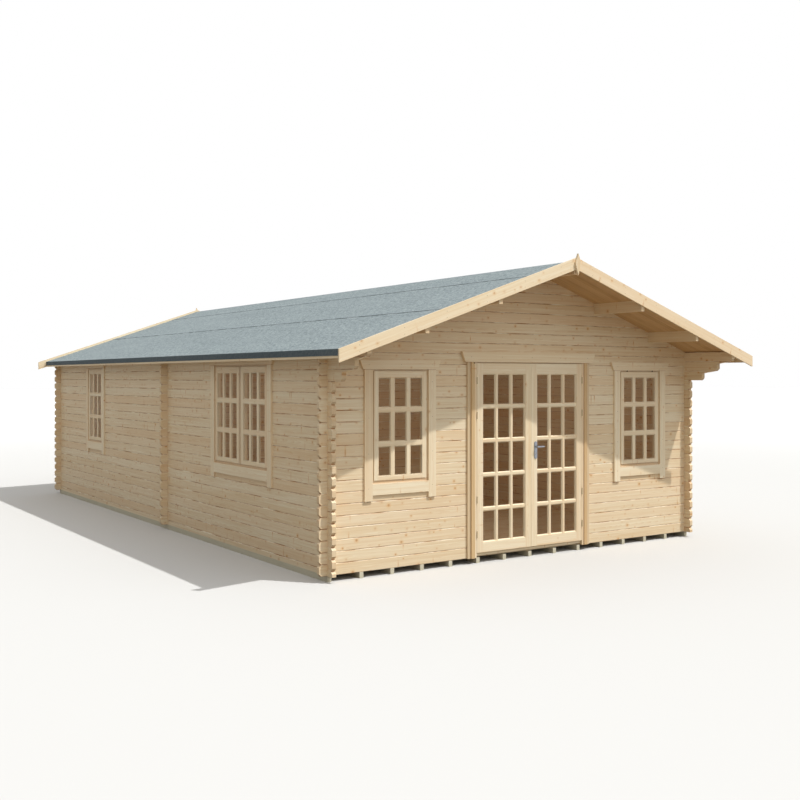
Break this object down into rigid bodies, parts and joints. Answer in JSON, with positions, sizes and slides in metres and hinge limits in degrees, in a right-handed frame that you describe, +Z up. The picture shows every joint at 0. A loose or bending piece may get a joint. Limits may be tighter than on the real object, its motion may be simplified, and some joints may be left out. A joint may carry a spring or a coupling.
{
  "type": "log cabin",
  "caption": "Log cabin with notched corner logs, a felt roof with wide front overhang, a glazed double door and framed windows.",
  "frame": {"origin": "on the ground, at the middle of the roof's outline in plan", "axes": "+Z up, the front gable with the double door faces -Y, +X to the right seen from the front"},
  "size_m": [5.66, 9.965, 3.2144],
  "materials": {
    "log_timber": "planed softwood",
    "board_timber": "planed softwood boards",
    "floor_timber": "planed softwood floor boards",
    "treated_timber": "treated softwood",
    "roof_felt": "mineral surfaced bitumen felt",
    "window_glass": "clear glass",
    "hinge_metal": "zinc plated",
    "handle_metal": "satin"
  },
  "bodies": {
    "cabin": {"bearers": "treated_timber", "floor": "floor_timber", "front_wall_left": "log_timber", "front_wall_right": "log_timber", "front_gable": "log_timber", "left_wall": "log_timber", "left_wall_head": "log_timber", "right_wall": "log_timber", "right_wall_head": "log_timber", "back_wall": "log_timber", "partition_left": "log_timber", "partition_right": "log_timber", "partition_gable": "log_timber", "purlins": "log_timber", "roof_boards_left": "board_timber", "roof_boards_right": "board_timber", "roof_felt_left": "roof_felt", "roof_felt_right": "roof_felt", "ridge_felt": "roof_felt", "eaves_boards": "board_timber", "front_barge_left": "board_timber", "front_barge_right": "board_timber", "rear_barge_left": "board_timber", "rear_barge_right": "board_timber", "finials": "board_timber", "door_jamb_left": "board_timber", "door_jamb_right": "board_timber", "door_head": "board_timber", "door_threshold": "board_timber", "door_casing_left": "board_timber", "door_casing_right": "board_timber", "door_lintel": "board_timber", "front_window_casings": "board_timber", "front_window_frames": "board_timber", "front_window_glass": "window_glass", "side_window_casings": "board_timber", "side_window_frames": "board_timber", "side_window_glass": "window_glass", "frame_hinges": "hinge_metal"},
    "left_leaf": {"left_door_leaf": "board_timber", "left_door_glass": "window_glass", "left_door_hinges": "hinge_metal"},
    "right_leaf": {"right_door_leaf": "board_timber", "right_door_glass": "window_glass", "right_door_hinges": "hinge_metal", "handle_plate": "handle_metal"},
    "lever": {"door_lever": "handle_metal"}
  },
  "joints": [
    {"name": "left_leaf_hinge", "type": "hinge", "parent": "cabin", "child": "left_leaf", "pos_m": [-0.7495, -4.2615, 1.1025], "axis": [0, 0, -1], "range_deg": [0, 110]},
    {"name": "right_leaf_hinge", "type": "hinge", "parent": "cabin", "child": "right_leaf", "pos_m": [0.7495, -4.2615, 1.1025], "axis": [0, 0, 1], "range_deg": [0, 110]},
    {"name": "lever_hinge", "type": "hinge", "parent": "right_leaf", "child": "lever", "pos_m": [0.06, -4.2765, 1.192], "axis": [0, 1, 0], "range_deg": [0, 45], "stiffness_Nm_per_rad": 0.6, "springref_deg": -20.05}
  ]
}
